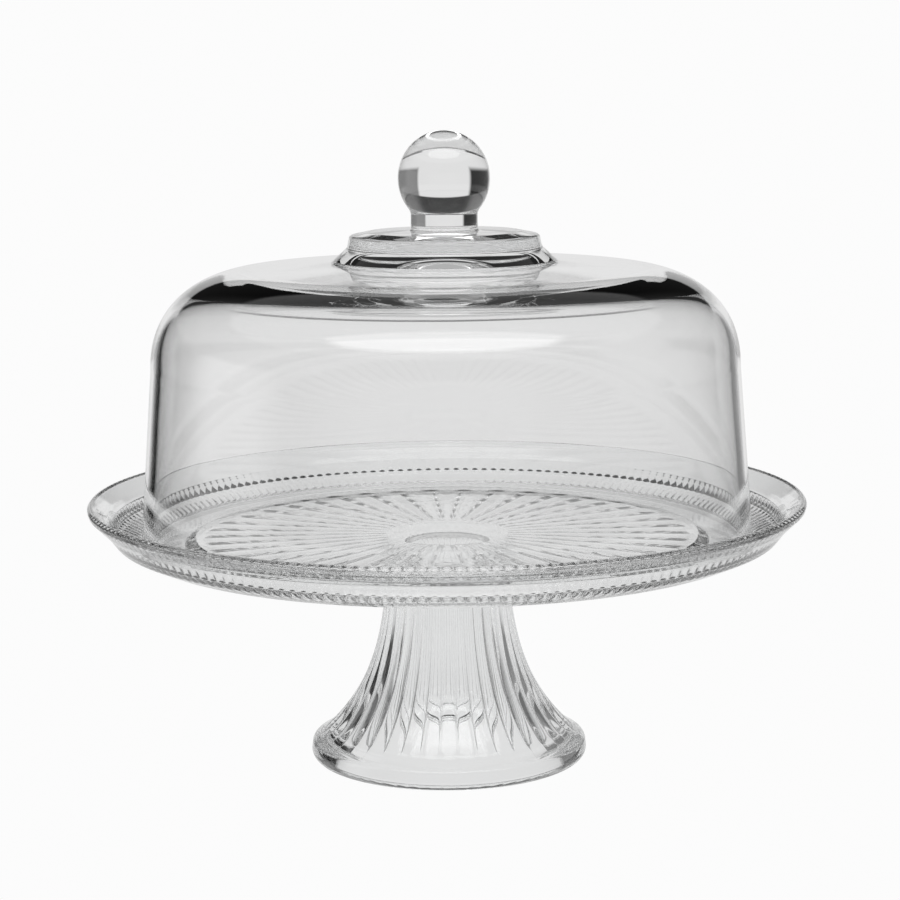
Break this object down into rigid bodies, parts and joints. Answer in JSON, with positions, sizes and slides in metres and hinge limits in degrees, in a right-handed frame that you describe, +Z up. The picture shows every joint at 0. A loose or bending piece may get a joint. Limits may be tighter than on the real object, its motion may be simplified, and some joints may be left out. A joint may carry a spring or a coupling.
{
  "type": "footed cake stand with dome",
  "caption": "Clear pressed-glass cake plate with a flared rim and raised centre on a fluted hollow pedestal, under a lift-off glass dome with a ball knob.",
  "frame": {"origin": "centre of the foot, on the table that the stand rests on", "axes": "+Z up the common axis of the stand and the dome; X and Y are free, because the object is round"},
  "size_m": [0.32, 0.32, 0.2824],
  "materials": {
    "plate_glass": "clear pressed glass, fire polished",
    "pedestal_glass": "clear pressed glass, fire polished",
    "dome_glass": "clear smooth glass",
    "knob_glass": "clear solid glass"
  },
  "bodies": {
    "stand": {"cake_plate": "plate_glass", "pedestal": "pedestal_glass"},
    "dome": {"dome_shell": "dome_glass", "dome_knob": "knob_glass"}
  },
  "joints": [
    {"name": "dome_lift", "type": "slide", "parent": "stand", "child": "dome", "axis": [0, 0, 1], "range_m": [0, 0.2]}
  ]
}
